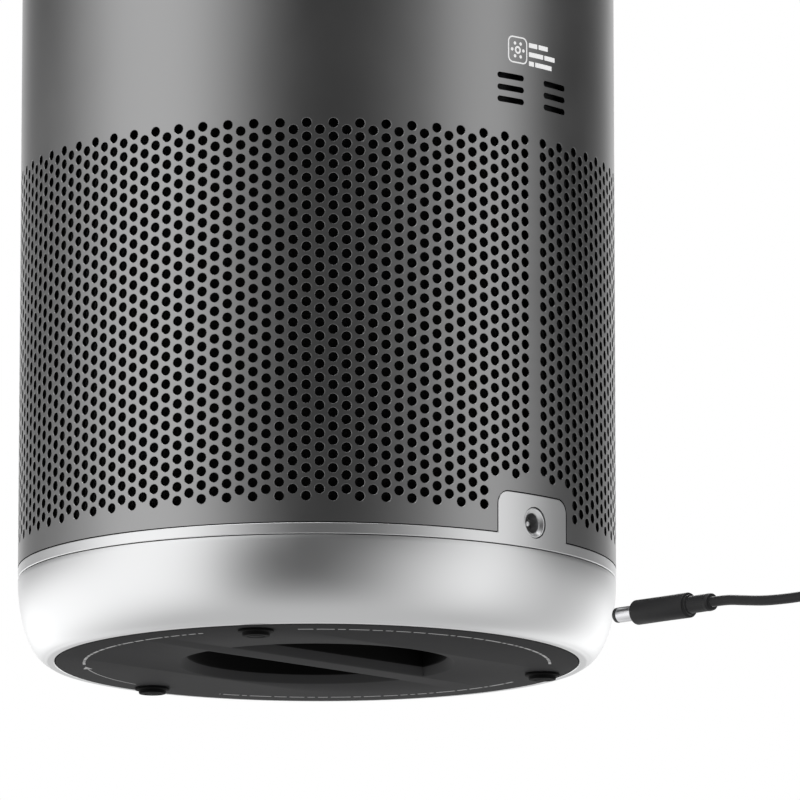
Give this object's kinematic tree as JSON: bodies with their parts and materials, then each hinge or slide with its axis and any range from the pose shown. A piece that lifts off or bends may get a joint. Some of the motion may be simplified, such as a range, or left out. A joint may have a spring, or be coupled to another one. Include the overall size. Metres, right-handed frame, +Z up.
{
  "type": "air purifier",
  "caption": "Tall drum air purifier with a perforated intake shell, silver foot, twist-off filter cover, ring filter, centrifugal fan and a DC lead with wall adapter.",
  "frame": {"origin": "on the floor at the centre of the three feet, under the body's axis", "axes": "+Z up along the body's axis, +Y towards the power inlet and the sensor slots, +X completes a right-handed frame"},
  "size_m": [0.2253, 0.4, 0.35],
  "materials": {
    "shell_metal": "satin metallic gunmetal",
    "silver": "satin silver",
    "cover_plastic": "fine matt dark grey",
    "black_plastic": "matt black",
    "inner_plastic": "matt black",
    "rubber": "matt",
    "screen_glass": "gloss black",
    "steel": "brushed",
    "chrome": "bright",
    "board": "green lacquer",
    "filter_cap": "matt",
    "filter_media": "pleated fibre",
    "carbon": "granular",
    "filter_mesh": "fine mesh",
    "foam": "soft foam",
    "strap": "woven tape",
    "brass": "satin"
  },
  "bodies": {
    "housing": {"outer_shell": "shell_metal", "base_ring": "silver", "base_skirt": "silver", "top_ring": "silver", "outlet_grille": "black_plastic", "control_panel": "black_plastic", "display_screen": "screen_glass", "cage_ring": "inner_plastic", "fan_deck": "inner_plastic", "fan_duct": "inner_plastic", "fan_can": "inner_plastic", "stator_vanes": "inner_plastic", "motor_mount": "steel", "motor": "steel", "main_board": "board", "display_board": "board", "dust_sensor": "inner_plastic", "wire_cover": "inner_plastic", "inlet_bezel": "silver", "inlet_jack": "black_plastic", "inlet_pin": "silver", "cage_post_1": "inner_plastic", "deck_screw_1": "steel", "cage_post_2": "inner_plastic", "deck_screw_2": "steel", "cage_post_3": "inner_plastic", "deck_screw_3": "steel", "cage_post_4": "inner_plastic", "deck_screw_4": "steel", "plug_tip": "black_plastic", "plug_barrel": "chrome", "plug_grip": "black_plastic", "plug_sleeve": "black_plastic", "dc_lead": "black_plastic", "cord_coil": "black_plastic", "coil_tie": "strap", "dc_tail": "black_plastic", "adapter_relief": "black_plastic", "adapter_case": "black_plastic", "adapter_plate": "black_plastic", "adapter_prong_1": "brass", "adapter_prong_2": "brass"},
    "rotor": {"fan_wheel": "inner_plastic", "fan_shaft": "steel", "fan_nut": "steel"},
    "filter": {"filter_cap_lower": "filter_cap", "filter_cap_upper": "filter_cap", "filter_core": "carbon", "filter_pleats": "filter_media", "filter_sleeve": "filter_mesh", "filter_seal": "foam", "filter_strap": "strap"},
    "cover": {"filter_cover": "cover_plastic", "cover_seal": "rubber", "foot_1": "rubber", "foot_2": "rubber", "foot_3": "rubber"}
  },
  "joints": [
    {"name": "fan_spin", "type": "hinge", "parent": "housing", "child": "rotor", "pos_m": [0, 0, 0.227], "axis": [0, 0, 1], "continuous": true},
    {"name": "filter_drop", "type": "slide", "parent": "housing", "child": "filter", "axis": [0, 0, -1], "range_m": [0, 0.19]},
    {"name": "cover_turn", "type": "hinge", "parent": "filter", "child": "cover", "pos_m": [0, 0, 0.005], "axis": [0, 0, 1], "range_deg": [0, 30]}
  ]
}
